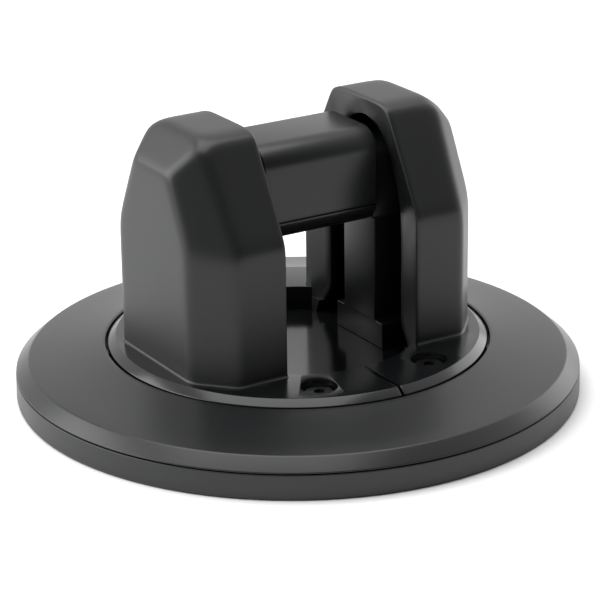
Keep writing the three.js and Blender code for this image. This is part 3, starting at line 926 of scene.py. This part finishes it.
# %% Screw tree
def screw_tree():
    tree = bpy.data.node_groups.new("Socket screws on points", "GeometryNodeTree")
    tree.interface.new_socket("Points", in_out="INPUT", socket_type="NodeSocketGeometry")
    sizes = {
        "Head Radius": 0.0052, "Head Height": 0.0016, "Socket Width": 0.0037,
        "Shank Radius": 0.0024, "Shank Length": 0.004, "Seat Height": 0.0179,
    }
    for name, value in sizes.items():
        socket = tree.interface.new_socket(name, in_out="INPUT", socket_type="NodeSocketFloat")
        socket.default_value = value
    finish = tree.interface.new_socket("Finish", in_out="INPUT",
                                       socket_type="NodeSocketMaterial")
    tree.interface.new_socket("Geometry", in_out="OUTPUT", socket_type="NodeSocketGeometry")
    given = add(tree, "NodeGroupInput")
    value = {s.name: s for s in given.outputs}
    crown_height = 0.0004

    def maths(kind, a, b):
        made = add(tree, "ShaderNodeMath", {"operation": kind})
        for socket, number in zip(made.inputs, (a, b)):
            if isinstance(number, bpy.types.NodeSocket):
                tree.links.new(number, socket)
            else:
                socket.default_value = number
        return made.outputs[0]

    def shifted(geometry, height):
        place = add(tree, "ShaderNodeCombineXYZ", Z=height)
        made = add(tree, "GeometryNodeTransform", Geometry=geometry,
                   Translation=place.outputs[0])
        return made.outputs[0]

    head = add(tree, "GeometryNodeMeshCylinder", Vertices=64, Radius=value["Head Radius"])
    crown = add(tree, "GeometryNodeMeshCone", Vertices=64)
    tree.links.new(value["Head Radius"], crown.inputs["Radius Bottom"])
    tree.links.new(maths("SUBTRACT", value["Head Radius"], crown_height),
                   crown.inputs["Radius Top"])
    crown.inputs["Depth"].default_value = crown_height
    shank = add(tree, "GeometryNodeMeshCylinder", Vertices=32, Radius=value["Shank Radius"],
                Depth=value["Shank Length"])
    hexagon = add(tree, "GeometryNodeMeshCylinder", Vertices=6, Depth=0.003)
    tree.links.new(maths("DIVIDE", value["Socket Width"], math.sqrt(3)),
                   hexagon.inputs["Radius"])

    seat = value["Seat Height"]
    side = maths("SUBTRACT", value["Head Height"], crown_height)
    tree.links.new(side, head.inputs["Depth"])
    head_at = shifted(head.outputs["Mesh"], maths("ADD", seat, maths("MULTIPLY", side, 0.5)))
    crown_at = shifted(crown.outputs["Mesh"], maths("ADD", seat, side))
    length = maths("MULTIPLY", value["Shank Length"], -0.5)
    shank_at = shifted(shank.outputs["Mesh"], maths("ADD", maths("ADD", seat, 0.0001), length))
    hexagon_at = shifted(hexagon.outputs["Mesh"], maths("ADD", seat, 0.00205))
    whole = add(tree, "GeometryNodeMeshBoolean", {"operation": "UNION", "solver": "EXACT"})
    for part in (head_at, crown_at, shank_at):
        tree.links.new(part, whole.inputs["Mesh 2"])
    cut = add(tree, "GeometryNodeMeshBoolean", {"operation": "DIFFERENCE", "solver": "EXACT"})
    tree.links.new(whole.outputs["Mesh"], cut.inputs["Mesh 1"])
    tree.links.new(hexagon_at, cut.inputs["Mesh 2"])

    copies = add(tree, "GeometryNodeInstanceOnPoints", Points=value["Points"],
                 Instance=cut.outputs["Mesh"])
    real = add(tree, "GeometryNodeRealizeInstances", Geometry=copies.outputs[0])
    coat = add(tree, "GeometryNodeSetMaterial", Geometry=real.outputs[0],
               Material=value["Finish"])
    leave = add(tree, "NodeGroupOutput")
    tree.links.new(coat.outputs[0], leave.inputs[0])
    return tree, finish.identifier


def grow_screws(name, nodes, finish, slot, body):
    """Runs the tree and keeps its result as a plain mesh."""
    tree, finish_socket = screw_tree()
    spots = bpy.data.meshes.new(name)
    middles = [sum(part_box(node), Vector()) / 2 for node in nodes]
    spots.from_pydata([(spot.x, spot.y, 0.0) for spot in middles], [], [])
    made = bpy.data.objects.new(name, spots)
    bpy.context.scene.collection.objects.link(made)
    step = made.modifiers.new("screws", "NODES")
    step.node_group = tree
    step[finish_socket] = finish
    apply_modifiers(made)
    soften(made, 30)
    return fit_out(made, finish, slot, body, *nodes)


cover_screws = grow_screws("cover_socket_screws", [f"cover_screw_{n}" for n in (1, 2, 3, 4)],
                           black_oxide, "blackened_steel", "rotor")

# %% [markdown]
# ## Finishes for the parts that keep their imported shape
#
# Parts inside and underneath are already right in shape. They only need their real finish, so each
# one gets the material of what it is made of.

# %% Finishes of kept parts
KEPT_FINISHES = {
    "acetal": acetal,
    "bright_steel": zinc,
    "blackened_steel": black_oxide,
    "rubber": rubber,
    "moulded_shell": post_nylon,
    "gloss_black": floor_nylon,
}


def finish_kept_parts():
    slots = {row["node"]: row["material_slot"] for row in frame["record"]["subparts"]}
    count = 0
    for name, node in frame["nodes"].items():
        node.data.materials.clear()
        node.data.materials.append(KEPT_FINISHES[slots[name]])
        count += 1
    print("parts with a finish:", count)


finish_kept_parts()

# %% [markdown]
# ## The studio
#
# A black object is mostly drawn by what it mirrors. The studio is bright behind and below, with one
# large lamp at the left back, a small one at the right and one overhead. It is dark in front, so
# that faces turned to the camera stay deep black while their edges and the tops catch soft light.
# The floor is plain and pale.

# %% Studio
def studio_floor():
    bm = bmesh.new()
    corners = [(-4000, -4000), (4000, -4000), (4000, 4000), (-4000, 4000)]
    bm.faces.new([bm.verts.new((x, y, -0.05)) for x, y in corners])
    made = new_object("studio_floor", bm)
    material, tree, shader = empty_material("white_paper_sweep")
    shader.inputs["Base Color"].default_value = linear("#f2f2f2")
    shader.inputs["Roughness"].default_value = 0.9
    shader.inputs["Specular IOR Level"].default_value = 0.0
    made.data.materials.append(material)


def softbox(name, place, aim, size, power, size_y=None):
    """A large soft lamp. Sizes and places are in metres."""
    data = bpy.data.lights.new(name, "AREA")
    data.shape = "RECTANGLE"
    data.size = size
    data.size_y = size_y or size
    data.energy = power
    made = bpy.data.objects.new(name, data)
    bpy.context.scene.collection.objects.link(made)
    made.location = place
    made.rotation_mode = "QUATERNION"
    made.rotation_quaternion = (Vector(aim) - Vector(place)).to_track_quat("-Z", "Y")
    return made


def studio_world():
    """Bright behind, fading round the sides to dark in front."""
    world = bpy.data.worlds.new("studio_world")
    bpy.context.scene.world = world
    world.use_nodes = True
    tree = world.node_tree
    tree.nodes.clear()
    place = add(tree, "ShaderNodeTexCoord")
    turn = add(tree, "ShaderNodeVectorMath", {"operation": "DOT_PRODUCT"})
    tree.links.new(place.outputs["Generated"], turn.inputs[0])
    turn.inputs[1].default_value = (0.35, 0.93, 0.0)
    glow = add(tree, "ShaderNodeMapRange", {"interpolation_type": "SMOOTHSTEP"})
    tree.links.new(turn.outputs["Value"], glow.inputs["Value"])
    glow.inputs["From Min"].default_value = -0.75
    glow.inputs["From Max"].default_value = 0.35
    glow.inputs["To Min"].default_value = 0.1
    glow.inputs["To Max"].default_value = 1.05
    light = add(tree, "ShaderNodeBackground", Color=linear("#ffffff"))
    tree.links.new(glow.outputs["Result"], light.inputs["Strength"])
    leave = add(tree, "ShaderNodeOutputWorld")
    tree.links.new(light.outputs[0], leave.inputs["Surface"])


bpy.context.scene.view_settings.view_transform = "Standard"
studio_floor()
studio_world()
softbox("left_softbox", (-1.6, 0.9, 0.95), (0, 0, 0.05), 2.2, 38, 1.4)
softbox("right_softbox", (1.5, 0.4, 0.6), (0, 0, 0.05), 0.9, 5, 0.9)
softbox("top_softbox", (-0.1, 0.1, 1.5), (0, 0, 0.05), 1.4, 17)
print("studio ready")
